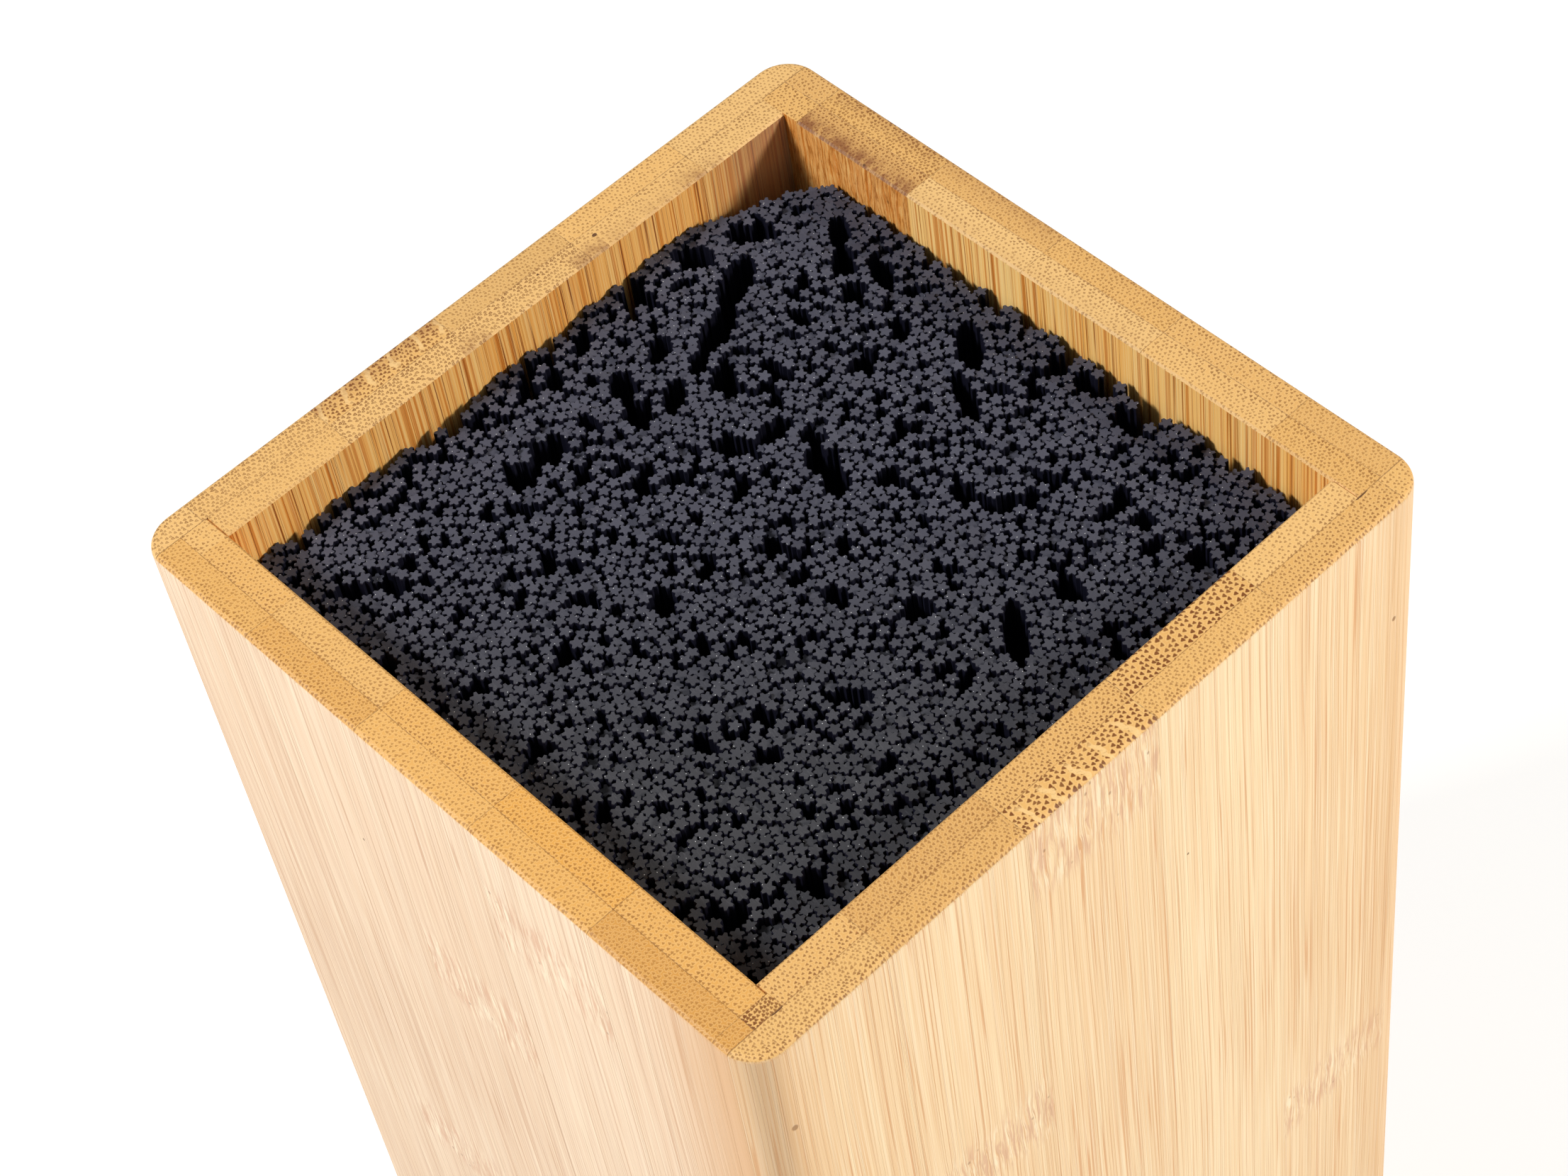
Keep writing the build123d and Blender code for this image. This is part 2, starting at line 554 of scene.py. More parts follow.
# %% Draw the cut end
def cut_end(finish, along, depth, ply, strip):
    """The colour of the cut end of a ply, and the mask of its dots."""
    stretches = odd_strips.get(ply, [])
    odd = {quality: oddness(along, stretches, quality) for quality in all_qualities}
    chance = finish.node(
        "ShaderNodeTexWhiteNoise", {"noise_dimensions": "1D"}, {"W": strip + 0.37}
    )

    patches = finish.noise(along * 0.16, depth * 0.3, strip * 3.1, detail=3)
    grit = finish.noise(along * 5.5, depth * 5.5, detail=2)
    colour = finish.mix(chance * 0.7 + patches * 0.5 - 0.1, straw_light, straw_deep)
    for quality, tint in straw_tints.items():
        if has(ply, quality):
            colour = finish.mix(odd[quality], colour, tint)

    in_ply = depth - (0.0 if "outer" in ply else ply_thickness)
    skin = in_ply.rise(2.4, 0.2)
    drift = finish.noise(along * 0.25, depth * 0.25, 4.0, detail=0) * 0.9
    spacing = dot_spacing - chance * 0.08 - odd["close"]
    lobed, pick = bundles(finish, along + drift, depth + drift, spacing, strip * 7.0)
    size = dot_radius + odd["big"] + pick * 0.05 + skin * 0.015
    dots = (lobed - size).rise(0.08, -0.06)
    rings = (lobed - size - 0.13).sum("ABSOLUTE").rise(0.10, 0.0)
    faded = finish.noise(along * 0.35, depth * 0.5, 6.0, detail=2)
    strength = 0.12 + faded * 0.6 + odd["dark"] * 0.6 + skin * 0.15 + pick * 0.1

    bars = 0.0
    if has(ply, "bars"):
        bars = pale_bars(finish, along, depth, odd)
        colour = finish.mix(bars * 0.7, colour, straw_pale)

    colour = finish.mix(rings * 0.35, colour, straw_pale)
    if has(ply, "hollow"):
        core = lobed.rise(0.10, 0.03) * odd["hollow"]
        dots = dots * (1 - core * 0.8)
    colour = finish.mix(dots * strength * (1 - bars), colour, bundle_brown)
    colour = finish.shade(colour, 0.90 + grit * 0.2)
    return stained(finish, colour, (along, depth, in_ply), ply, odd), dots


print("cut ends take", len(straw_tints), "tints of straw")

# %% [markdown]
# ## The face
#
# Along the faces the bundles are streaks. Noise that is stretched far along the
# fibres gives them: coarse, medium and fine together. A thin dark or pale line
# runs wherever a noise passes through one half. At a knuckle the fibres are
# pushed aside, so the place along the board is shifted by a second noise before
# the streaks are drawn, and short flecks and a few dark pores are added.

# %% Choose the colours and the streaks of the faces
# Light, deep and line colours: those of the ply itself, or of its layer.
face_tints = {
    "outer": ((0.86, 0.67, 0.41), (0.70, 0.43, 0.205), (0.60, 0.28, 0.10)),
    "front_outer": ((0.81, 0.62, 0.43), (0.66, 0.42, 0.24), (0.53, 0.29, 0.15)),
    # The inner faces are a stronger orange than the outer ones: partly the bamboo's own colour
    # and partly painted warm reflection from the bamboo walls around them.
    "inner": ((0.99, 0.60, 0.20), (0.86, 0.36, 0.065), (0.26, 0.06, 0.006)),
    # The back inner face is lighter than the other inner faces: painted light, brightening that
    # wall beyond what the lamps give it.
    "back_inner": ((0.99, 0.68, 0.26), (0.95, 0.46, 0.095), (0.40, 0.125, 0.013)),
}
band_brown = (0.62, 0.19, 0.020)
# Painted shadow: near the back wall the left inner face is mixed towards this dark brown, where
# the back wall's shadow falls.
painted_corner_shadow = (0.29, 0.16, 0.11)
fleck_pink = (0.62, 0.35, 0.20)
face_pale = (0.88, 0.72, 0.50)
inner_pale = (0.99, 0.70, 0.31)

# Each grade of streak: cells per millimetre across and lengthwise, detail, and
# how far along the board its pattern is shifted, so that no two grades agree.
streak_grades = {
    "broad": (0.45, 0.006, 2, 0),
    "medium": (1.9, 0.012, 2, 0),
    "fine": (7.5, 0.03, 3, 0),
    "hair": (16.0, 0.05, 2, 57),
    "dark line": (1.8, 0.007, 1, 0),
    "pale line": (1.7, 0.009, 1, 31),
    "band": (2.1, 0.006, 2, 83),
    "thin line": (3.9, 0.008, 1, 11),
}
print(len(streak_grades), "grades of streak")


# %% Mask the knuckles and draw the streaks
def knuckle_mask(finish, along, length, listed):
    """1 in the middle of a listed knuckle and 0 outside it, with a ragged edge."""
    ragged = finish.noise(along * 0.9, length * 0.10, 7.0, detail=3) * 6 - 3
    total = 0.0
    for start, end, middle, half_height in listed:
        away = (length + ragged - (rim + middle)).sum("ABSOLUTE")
        inside = (along > start) * (along < end)
        total = inside * away.rise(half_height + 2.0, half_height - 4.0) + total
    return total


def streaks(finish, along, depth, length, grade):
    """Noise drawn out along the fibres, of one grade."""
    across, lengthwise, detail, shift = streak_grades[grade]
    return finish.noise(
        (along + shift) * across, depth * across * 0.5, length * lengthwise, detail
    )


print("broadest streaks", round(1 / streak_grades["broad"][0], 1), "mm wide")


# %% Draw what a knuckle adds
def with_knuckles(finish, colour, relief, knuckle, place, fine, tints):
    """The colour and the relief of a face with the flecks and pores of its knuckles.

    On the inner faces a knuckle also browns the straw. Place is along, bent and
    length, and tints are whether the ply is an inner one, its light and its line.
    """
    along, bent, length = place
    inner, light, line = tints
    if inner:
        flecks = finish.noise(bent * 2.6, 5.0, length * 0.30, detail=4, roughness=0.65)
        colour = finish.mix(knuckle * (0.42 + fine * 0.3), colour, band_brown)
        dark_fleck, pale_fleck, share = line, light, 0.36
    else:
        flecks = finish.noise(bent * 2.0, 5.0, length * 0.13, detail=3, roughness=0.6)
        dark_fleck, pale_fleck, share = fleck_pink, face_pale, 0.7
    colour = finish.mix(knuckle * flecks.rise(0.50, 0.60) * 0.8, colour, dark_fleck)
    colour = finish.mix(knuckle * flecks.rise(0.45, 0.38) * share, colour, pale_fleck)
    pore_spot = finish.vector(along * 0.45, 0.0, length * 0.30)
    pore = finish.node("ShaderNodeTexVoronoi", inputs={"Vector": pore_spot, "Scale": 1.0})
    pores = pore.rise(0.13, 0.05) * knuckle.rise(0.5, 0.9)
    colour = finish.mix(pores * 0.5, colour, bundle_brown)
    return colour, relief + knuckle * flecks * 0.2 - pores


print("flecks and pores for", len(knuckles), "plies with knuckles")

# %% [markdown]
# The face starts with a tone that adds up all grades of streak and runs from the
# light colour to the deep one. The pale and the dark lines come over it. The inner
# faces get brown bands as well.


# %% Draw the face
def face(finish, along, depth, length, ply, strip):
    """The colour of the long faces of a ply, and the height of its streaks."""
    listed = knuckles.get(ply, [])
    chance = finish.node(
        "ShaderNodeTexWhiteNoise", {"noise_dimensions": "1D"}, {"W": strip + 11.9}
    )
    sway = finish.noise(along * 0.05, 0.0, length * 0.012, detail=1) * 1.6
    along = along + sway

    bent = along
    if listed:
        knuckle = knuckle_mask(finish, along - sway, length, listed)
        push = finish.noise(along * 0.5, 3.0, length * 0.08, detail=2) * 1.8 - 0.9
        bent = along + knuckle * push

    def streak(grade):
        return streaks(finish, bent, depth, length, grade)

    broad, medium, fine, hair = map(streak, ("broad", "medium", "fine", "hair"))
    dark_line = (streak("dark line") - 0.5).sum("ABSOLUTE").rise(0.034, 0.006)
    pale_line = (streak("pale line") - 0.5).sum("ABSOLUTE").rise(0.045, 0.006)

    inner = "inner" in ply
    light, deep, line = face_tints.get(ply, face_tints["inner" if inner else "outer"])
    tone = chance * 0.3 + broad * 0.5 + medium * 0.9 + fine * 1.5 + hair * 1.3 - 1.75
    colour = finish.mix(tone, light, deep)
    colour = finish.mix(pale_line * 0.4, colour, inner_pale if inner else face_pale)
    strength = 0.95 if inner else 0.75
    colour = finish.mix(dark_line * medium.rise(0.36, 0.54) * strength, colour, line)
    if inner:
        band, thin_line = streak("band"), streak("thin line")
        colour = finish.mix(band.rise(0.54, 0.61) * (0.4 + fine) * 0.8, colour, band_brown)
        colour = finish.mix(thin_line.rise(0.60, 0.67) * 0.5, colour, band_brown)
        colour = finish.mix(thin_line.rise(0.37, 0.30) * 0.5, colour, inner_pale)
        # Painted shadow: the left inner face darkens towards the back wall, where that wall
        # casts its shadow.
        if ply == "left_inner":
            colour = finish.mix(along.rise(30.0, 44.0) * 0.65, colour, painted_corner_shadow)

    relief = fine * 0.6 + medium * 0.4 - dark_line * 0.5
    if listed:
        place, tints = (along, bent, length), (inner, light, line)
        return with_knuckles(finish, colour, relief, knuckle, place, fine, tints)
    return colour, relief


print("finest streaks", round(1 / streak_grades["hair"][0], 2), "mm wide")

# %% [markdown]
# ## One finish per ply
#
# Which of the two a point shows depends on which way the surface faces: the rim
# and the bottom edge look along the fibres, and the rest look across them. The
# seams between strips and between the plies are thin dark lines. The satin
# lacquer is a fairly smooth surface whose sheen varies with the streaks.

# %% Draw the seams and the marks
seam_brown = (0.13, 0.055, 0.02)


def seams(finish, board, ply, place, where, end):
    """1 on the seams between strips, plies and boards, and on the small marks.

    A mark is a flat ellipse: it is dark where the squares of the two ways from
    its middle, each as a share of its half length or breadth, add up to less
    than 1.
    """
    along, depth, length = where
    to_joint = (place - (place + 0.5).sum("FLOOR")).sum("ABSOLUTE") * strip_joints[board][1]
    broken = finish.noise(along * 0.8, depth * 0.8, length * 0.05, detail=2).rise(0.35, 0.6)
    to_ply = (depth - ply_thickness).sum("ABSOLUTE")
    seam = to_joint.rise(0.10, 0.02) * (0.12 + end * broken * 0.25)
    seam = seam + end * to_ply.rise(0.11, 0.02) * (0.10 + broken * 0.28)
    if board in ("front", "back"):
        seam = seam + end * (along.sum("ABSOLUTE") - ply_line + 0.12).rise(0.0, 0.08) * 0.5
    for middle, deep, half_length, half_breadth in rim_marks.get(ply, []):
        one_way = ((along - middle) / half_length) ** 2
        other_way = ((depth - deep) / half_breadth) ** 2
        seam = seam + end * (one_way + other_way).rise(1.2, 0.5) * 1.4
    for middle, above, radius in face_spots.get(ply, []):
        one_way = ((along - middle) / radius) ** 2
        other_way = ((length - rim - above) / (radius * 1.3)) ** 2
        seam = seam + (1 - end) * (one_way + other_way).rise(1.3, 0.3) * 0.8
    return seam.sum("MINIMUM", 1.0)


marks = [mark for listed in (rim_marks, face_spots) for ply in listed for mark in listed[ply]]
print(len(marks), "small marks besides the seams")

# %% [markdown]
# The outer faces are painted darker and browner towards the upright edges of the
# block, the front face most of all towards the near corner: painted shade where
# the lights graze the rounded corners. The inner plies of the left and right boards end
# against the front and back boards, and a sliver of that end shows in the small
# bevel around the opening, so it is painted as a cut end as well.

# %% Put the finish together
painted_edge_shade = (0.60, 0.31, 0.11)
# How far in from the edge of the block the painted shade reaches, and how strong it is.
edge_shade_reach, edge_shade_share = 11, 0.45
front_shade_reach, front_shade_share = 20, 0.85
relief_depth = 0.045


def bamboo(board, layer):
    """The finish of one ply of one board."""
    ply = f"{board}_{layer}"
    finish = Finish(f"bamboo_{ply}")
    along, depth, length = board_place(finish, board)
    first, pitch = strip_joints[board]
    place = (along - first) / pitch
    strip = place.sum("FLOOR") + 5 * (layer == "inner") + 20 * len(board)

    end_colour, dots = cut_end(finish, along, depth, ply, strip)
    face_colour, relief = face(finish, along, depth, length, ply, strip)

    facing = finish.node("ShaderNodeNewGeometry", output="Normal")
    split = finish.node("ShaderNodeSeparateXYZ", inputs={0: facing}).socket.node.outputs
    lengthwise = Term(finish, split["Y" if board == "base" else "Z"])
    end = lengthwise.sum("ABSOLUTE").rise(0.35, 0.6)
    if board in ("left", "right") and layer == "inner":
        butt = (along.sum("ABSOLUTE") > half_opening - 0.03) * (length > rim - 0.5)
        end = end.sum("MAXIMUM", butt)
    colour = finish.mix(end, face_colour, end_colour)

    seam = seams(finish, board, ply, place, (along, depth, length), end)
    colour = finish.mix(seam, colour, seam_brown)
    # Painted shade: the outer faces darken towards the upright edges of the block, most on the
    # front face towards the near corner.
    if board != "base" and layer == "outer":
        aside, reach, share = along.sum("ABSOLUTE"), edge_shade_reach, edge_shade_share
        if board == "front":
            aside, reach, share = along, front_shade_reach, front_shade_share
        edge_shade_amount = (aside - depth).rise(half_width - 2 - reach, half_width - 2)
        colour = finish.mix(edge_shade_amount * (1 - end) * share, colour, painted_edge_shade)

    sheen = finish.noise(along * 0.3, depth * 0.3, length * 0.05, detail=3)
    finish.feed(
        Base_Color=colour,
        Roughness=0.40 + sheen * 0.16 + end * 0.08 + seam * 0.2,
        Specular_IOR_Level=0.4,
    )
    finish.bump(relief * (1 - end) - end * dots * 0.8 - seam * 1.5, relief_depth)
    return finish.material


for board in strip_joints:
    for layer in ("outer", "inner"):
        if board == "base":
            node = "base_panel_lower_ply" if layer == "outer" else "base_panel_upper_ply"
        else:
            node = f"{board}_wall_{layer}_ply"
        nodes[node].material_slots[0].material = bamboo(board, layer)
print(len([m for m in bpy.data.materials if m.name.startswith("bamboo_")]), "bamboo finishes")

# %% [markdown]
# ## Feet and plate
#
# Under the base are four feet of black rubber, and the insert stands on a plate
# of black plastic. Moulded rubber is dull and slightly mottled, because dust
# sticks to it. The plate was moulded against a spark-eroded steel face, which
# leaves a fine even grain. A part of one moulded stuff needs no more than two
# noises, one for the tone and one for the grain.


# %% Finish the feet and the plate
def moulded(name, dark, pale, roughness, grain_per_mm, grain_depth):
    """A plain moulded finish: a slow noise tints it and a fast one roughens it."""
    finish = Finish(name)
    x, y, z = finish.millimetres()
    mottle = finish.noise(x * 0.25, y * 0.25, z * 0.25, detail=4)
    grain = finish.noise(x * grain_per_mm, y * grain_per_mm, z * grain_per_mm)
    finish.feed(
        Base_Color=finish.mix(mottle.rise(0.3, 0.75), dark, pale),
        Roughness=roughness + mottle * 0.15,
        Specular_IOR_Level=0.4,
    )
    finish.bump(grain, grain_depth)
    return finish.material


foot_rubber = moulded(
    "foot_rubber", (0.018, 0.018, 0.018), (0.035, 0.034, 0.033), 0.72, 3.0, 0.03
)
plate_plastic = moulded(
    "plate_plastic_grained", (0.013, 0.013, 0.014), (0.022, 0.022, 0.024), 0.48, 5.0, 0.02
)
for corner in ("front_left", "front_right", "back_left", "back_right"):
    nodes[f"rubber_foot_{corner}"].material_slots[0].material = foot_rubber
nodes["insert_plate"].material_slots[0].material = plate_plastic
print("feet and plate finished")

# %% [markdown]
# ## The rods
#
# Each rod is a long thin extrusion whose section is a blunt five-pointed star.
# It is fused to the plate at its foot and free at its tip, so it bends like a
# fishing rod: the tips wander, crowd together, and stay apart where a knife has
# stood. The feet keep the even grid of the plate, and only the tips move.
# The feet are the centres of the CAD rods: rows of fifty with shorter rows between.

# %% Find the feet of the rods
first_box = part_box("rods_a1")
last_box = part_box("rods_d4")
rod_radius = 0.76
rods_in_long_row = 50
rod_foot = first_box[0].z / MM
rod_tip = first_box[1].z / MM

first_rod = last_box[1].x / MM - rod_radius
rod_pitch = 2 * first_rod / (rods_in_long_row - 1)
half_the_gaps = int(2 * first_rod / (rod_pitch * math.sqrt(3) / 2)) // 2
row_pitch = first_rod / half_the_gaps

long_x = (np.arange(rods_in_long_row) - (rods_in_long_row - 1) / 2) * rod_pitch
long_y = (np.arange(half_the_gaps + 1) - half_the_gaps / 2) * 2 * row_pitch
short_x = (long_x[1:] + long_x[:-1]) / 2
short_y = (long_y[1:] + long_y[:-1]) / 2
feet = np.concatenate(
    [
        np.stack(np.meshgrid(long_x, long_y), -1).reshape(-1, 2),
        np.stack(np.meshgrid(short_x, short_y), -1).reshape(-1, 2),
    ]
)
print(len(feet), "rods", round(rod_pitch, 3), "mm apart, from", rod_foot, "to", rod_tip)

# %% [markdown]
# The gaps among the tips are flat ellipses: where the middle lies, how long and how
# wide the gap is, and which way it points, in degrees. The first two, the largest,
# have their middles outside the opening, and keep the rods in the back left corner
# clear of the walls. Small slits are strewn in between at random, from a generator
# with a seed, so that they fall in the same places each time.

# %% List the gaps among the tips
gaps = np.array(
    [
        (-52.5, 39.0, 40.0, 19.0, 76),
        (-50.0, 50.0, 25.0, 24.0, 0),
        (-39.5, 33.5, 8.5, 3.4, 48),
        (-42.5, 25.5, 6.0, 3.6, 40),
        (-35.0, 26.0, 10.0, 4.2, -62),
        (-31.0, 19.0, 9.5, 4.0, -66),
        (-28.5, 13.5, 4.5, 2.4, -60),
        (-32.3, -8.6, 5.2, 4.0, 80),
        (-31.8, -13.4, 5.0, 3.6, 80),
        (-33.0, 4.4, 5.0, 3.4, -26),
        (-28.2, 2.6, 5.2, 3.2, -20),
        (-5.2, 12.6, 5.2, 3.8, 20),
        (-1.6, 11.6, 4.2, 3.4, -30),
        (-31.5, 41.0, 5.0, 2.8, -38),
        (-27.4, 37.8, 5.6, 3.0, -38),
        (30.7, 9.5, 10.0, 3.2, -40),
        (-4.6, 37.8, 8.6, 3.6, -37),
        (-15.3, 7.0, 6.2, 3.3, 33),
        (0.6, 31.7, 8.6, 2.6, -26),
        (18.9, 42.9, 7.0, 2.6, 43),
        (-26.8, 7.7, 5.8, 3.0, -54),
        (-22.2, 39.6, 7.0, 2.8, -26),
        (-24.7, 13.9, 5.8, 2.6, -69),
        (-13.3, 12.5, 5.2, 2.6, 76),
        (-4.0, -15.1, 4.6, 3.0, -33),
        (26.6, 30.6, 5.7, 2.3, 86),
        (31.2, 18.4, 4.6, 2.7, 0),
        (22.7, -10.0, 6.4, 2.4, 34),
        (-13.0, 27.3, 3.6, 3.3, -63),
        (-43.8, 16.2, 5.4, 2.4, -70),
        (11.2, 20.5, 4.1, 2.7, 3),
        (-33.8, 11.5, 4.8, 3.0, -65),
        (5.8, 43.2, 4.6, 2.4, 87),
        (11.8, 43.0, 5.8, 2.0, 8),
        (15.9, 22.0, 4.6, 2.4, 42),
        (-22.5, 34.8, 3.5, 3.0, -27),
        (-9.0, 14.8, 4.0, 2.4, 22),
        (-20.2, 19.1, 5.6, 2.0, -1),
        (-24.4, 27.3, 3.9, 2.6, -3),
        (-13.3, 34.2, 4.1, 2.3, -23),
        (-30.9, -35.7, 3.9, 2.3, -13),
        (35.1, -39.8, 3.1, 2.7, 36),
        (30.6, 31.6, 3.7, 2.4, 32),
        (34.0, 29.5, 4.1, 2.1, 90),
        (31.1, 0.9, 4.4, 1.8, -66),
        (2.6, 16.3, 3.8, 2.2, 86),
        (10.9, -0.7, 4.2, 2.3, 37),
        (19.2, 4.7, 3.1, 2.4, 20),
        (38.0, -30.8, 3.3, 2.5, 71),
        (-31.9, -2.5, 3.5, 2.3, 5),
        (-42.9, 6.4, 2.9, 2.6, -33),
        (-20.0, -4.2, 4.6, 1.8, -88),
        (-9.7, 3.0, 4.5, 1.8, -60),
        (-11.3, -21.4, 3.5, 2.1, 36),
        (33.0, -14.1, 4.3, 1.8, -90),
        (21.9, -22.2, 3.6, 2.0, 34),
        (39.1, 32.1, 3.1, 2.4, -54),
        (-10.6, -8.2, 3.9, 1.8, 13),
    ]
)
chance = np.random.default_rng(41)
small_gaps, gap_room = 120, 45
slits = np.stack(
    [
        chance.triangular(-gap_room, -42, gap_room, small_gaps),
        chance.triangular(-gap_room, 42, gap_room, small_gaps),
        chance.uniform(0.6, 2.6, small_gaps),
        chance.uniform(0.2, 0.9, small_gaps),
        chance.uniform(-90, 90, small_gaps),
    ],
    -1,
)
print(len(gaps), "gaps left by knives and", len(slits), "small ones")

# %% [markdown]
# Where the tips go is found by letting them jostle, which gives a crowd that no
# grid with noise would. They start over their feet, stirred by a slow swell, and
# then take turns: a tip that stands in a gap moves out of it, and two tips that
# are too close push each other away, until nothing moves much.

# %% Define the rules of the crowd
half_a_rod = 0.72


def leave_gaps(tips):
    """Tips inside a gap, grown by half a rod, move to its edge.

    In a gap's own axes, scaled to a unit circle, a point inside moves straight
    out to the circle.
    """
    for x, y, length, breadth, turn in (*gaps, *slits):
        c, s = math.cos(math.radians(turn)), math.sin(math.radians(turn))
        axes = np.array([[c, s], [-s, c]])
        size = np.array([length, breadth]) / 2 + half_a_rod
        local = (tips - (x, y)) @ axes.T / size
        far = np.linalg.norm(local, axis=1)
        inside = far < 1
        local[inside] /= np.maximum(far[inside], 0.05)[:, None]
        tips[inside] = (local[inside] * size) @ axes + (x, y)
    return tips


def near_pairs(tips, reach):
    """All pairs of tips closer than a reach, from the table of all distances."""
    apart = np.linalg.norm(tips[:, None] - tips[None], axis=2)
    first, second = np.nonzero(np.triu(apart < reach, 1))
    return first, second


print("tips keep", half_a_rod, "mm away from a gap")

# %% [markdown]
# The room for the tips ends a rod's reach from the walls. Towards the right and the
# back its edge is ragged, because the rods there lean away from the wall by
# different amounts. Before the jostling, all lean a little towards the front
# right corner, most in the middle and not at all at the walls.

# %% Stir the tips
arm_reach = 0.95
back_clearance = 1.4
room_low = np.array([-half_opening + arm_reach, -half_opening + arm_reach])
room_high = np.array([half_opening - arm_reach, half_opening - back_clearance])
ragged = chance.uniform(0, 1, (len(feet), 2)) ** 2 * (0.8, 1.5)

swell_height = 0.30
swell = np.zeros_like(feet)
for _ in range(9):
    wave = chance.normal(0, 0.30, 2)
    push = swell_height * chance.normal(0, 1, 2)
    swell += push * np.sin(feet @ wave + chance.uniform(0, 6.3))[:, None]

common_lean = 5.5
stray = 0.9
towards = np.array([1, -1]) / math.sqrt(2)
common = common_lean * np.cos(feet / half_opening * math.pi / 2).prod(1)[:, None] * towards
tips = feet + common + swell + chance.normal(0, stray, feet.shape)
print(f"swell of {np.abs(swell).max():.2f} mm at most")

# %% Let the tips jostle
least_apart = 1.60
rounds, look_again, pair_reach, give = 80, 20, 3.2, 0.55
share = feet @ towards / (half_opening * math.sqrt(2))
own_room = (chance.uniform(0.93, 1.07, len(feet)) - 0.05 * share) / 2

for step in range(rounds):
    if step % look_again == 0:
        one, two = near_pairs(tips, pair_reach)
    tips = leave_gaps(tips)
    across = tips[two] - tips[one]
    far = np.maximum(np.linalg.norm(across, axis=1), 0.01)
    wanted = least_apart * (own_room[one] + own_room[two])
    push = np.maximum(wanted - far, 0) * 0.5 / far
    moves = across * push[:, None]
    for axis in (0, 1):
        tips[:, axis] -= np.bincount(one, moves[:, axis], len(tips)) * give
        tips[:, axis] += np.bincount(two, moves[:, axis], len(tips)) * give
    tips = np.clip(tips, room_low, room_high - ragged)

lean = np.linalg.norm(tips - feet, axis=1)
print(f"tips lean {lean.mean():.2f} mm on average and {lean.max():.2f} mm at most")

# %% [markdown]
# ## How the stars mesh
#
# A star with its arm in a neighbour's valley takes less room than two that meet
# arm to arm. The radius of a star in some direction is nearly a mean plus a swing
# times the cosine of five times the angle from its arm, so how much two stars
# overlap is easy to add up. Each rod tries a dozen turns against its neighbours
# and keeps the best, and after some rounds the crowd has meshed.

# %% Turn the stars to mesh
touching_reach = 2.3
meshing_rounds, tries_each = 14, 12
one, two = near_pairs(tips, touching_reach)
one, two = np.concatenate([one, two]), np.concatenate([two, one])
between = tips[two] - tips[one]
bearing = np.arctan2(between[:, 1], between[:, 0])
distance = np.linalg.norm(between, axis=1)
mean_radius, swing = 0.745, 0.19

turn = chance.uniform(0, math.tau / 5, len(tips))
for _ in range(meshing_rounds):
    their_edge = mean_radius + swing * np.cos(5 * (bearing + math.pi - turn[two]))
    tries = chance.uniform(0, math.tau / 5, (tries_each, len(tips)))
    tries[0] = turn
    cost = []
    for guess in tries:
        own_edge = mean_radius + swing * np.cos(5 * (bearing - guess[one]))
        overlap = np.maximum(own_edge + their_edge - distance, 0)
        cost.append(np.bincount(one, overlap**2, len(tips)))
    best = tries[np.argmin(cost, axis=0), np.arange(len(tips))]
    turning = chance.random(len(tips)) < 0.5
    turn = np.where(turning, best, turn)
own_edge = mean_radius + swing * np.cos(5 * (bearing - turn[one]))
their_edge = mean_radius + swing * np.cos(5 * (bearing + math.pi - turn[two]))
overlap = np.maximum(own_edge + their_edge - distance, 0)
print(f"overlap left {overlap.mean():.3f} mm on average")

# %% [markdown]
# ## Make the rods
#
# One rod is a ring of fifteen points, two at each arm's end and one in each
# valley, set four times along its length: at the foot, part of the way up, just
# below the tip, and a little smaller at the tip, where the shears have rounded
# the edge. A rod fixed at its foot and pushed at its tip bows by the beam rule,
# t squared times (3 - t) halves, where t is the height as a share of the length.
# The rods are not cut to quite the same length, and no two stars are quite alike.

# %% Draw the star and vary the rods
arm_angles = np.radians([-10.5, 10.5, 36.0])
arm_radii = np.array([arm_reach, arm_reach, 0.55])
star_angles = (arm_angles + np.arange(5)[:, None] * math.tau / 5).ravel()
star_radii = np.tile(arm_radii, 5)
ring_size = len(star_angles)
ring_heights = np.array([0.0, 0.62, 0.9994, 1.0])
ring_inset = np.array([0.0, 0.0, 0.0, 0.065])

longest, odd_one_out = 0.15, 0.05
cut = np.minimum(chance.normal(-0.1, 0.24, len(tips)), longest)
cut -= np.where(chance.random(len(tips)) < odd_one_out, chance.uniform(0.4, 1.3, len(tips)), 0)
cut_slope = chance.normal(0, 0.06, (len(tips), 2))
tone = chance.random(len(tips))
girth = chance.normal(0.99, 0.03, len(tips))[:, None]
girth = girth * chance.normal(1, 0.035, (len(tips), ring_size))
print(f"rods end from {cut.min():.2f} to {cut.max():.2f} mm off their length")


# %% Work out the points and faces of a bundle
def rod_points(chosen):
    """Rings of a star, moved sideways by the beam rule.

    A point is its foot, plus the lean times the bow at its height, plus the
    star's radius at the point's angle. On the last two rings the height also
    slopes.
    """
    count = len(chosen)
    angle = star_angles[None] + turn[chosen][:, None]
    radii = np.minimum(star_radii * girth[chosen], arm_reach)
    outline = np.stack([np.cos(angle), np.sin(angle)], -1) * radii[:, :, None]
    bow = ring_heights**2 * (3 - ring_heights) / 2
    lean = (tips - feet)[chosen]

    points = np.zeros((count, len(ring_heights), ring_size, 3))
    middles = feet[chosen][:, None] + lean[:, None] * bow[None, :, None]
    shrink = 1 - ring_inset / arm_radii.mean()
    points[..., :2] = middles[:, :, None] + outline[:, None] * shrink[:, None, None]
    tall = rod_tip - rod_foot + cut[chosen]
    points[..., 2] = (rod_foot + tall[:, None] * ring_heights)[:, :, None]
    slope = np.einsum("rpa,ra->rp", outline, cut_slope[chosen])
    points[:, -2:, :, 2] += slope[:, None]
    return points


